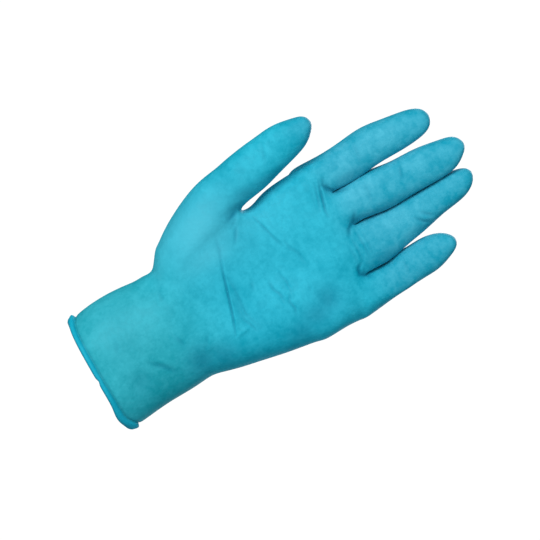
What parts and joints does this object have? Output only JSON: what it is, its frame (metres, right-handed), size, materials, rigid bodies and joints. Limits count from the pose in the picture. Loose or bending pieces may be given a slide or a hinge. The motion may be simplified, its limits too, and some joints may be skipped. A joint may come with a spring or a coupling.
{
  "type": "nitrile exam glove",
  "caption": "Thin hollow nitrile exam glove with rolled cuff, in the form it has on a flat open hand, palm side forward.",
  "frame": {"origin": "centre of the wrist opening, in the plane of the cuff's rim", "axes": "+Z from the cuff to the middle fingertip, -Y out of the palm, -X towards the thumb, +X towards the little finger"},
  "size_m": [0.1162, 0.046, 0.24],
  "materials": {
    "nitrile_blue": "satin light blue nitrile film"
  },
  "bodies": {
    "root": {"glove_shell": "nitrile_blue"}
  },
  "joints": []
}
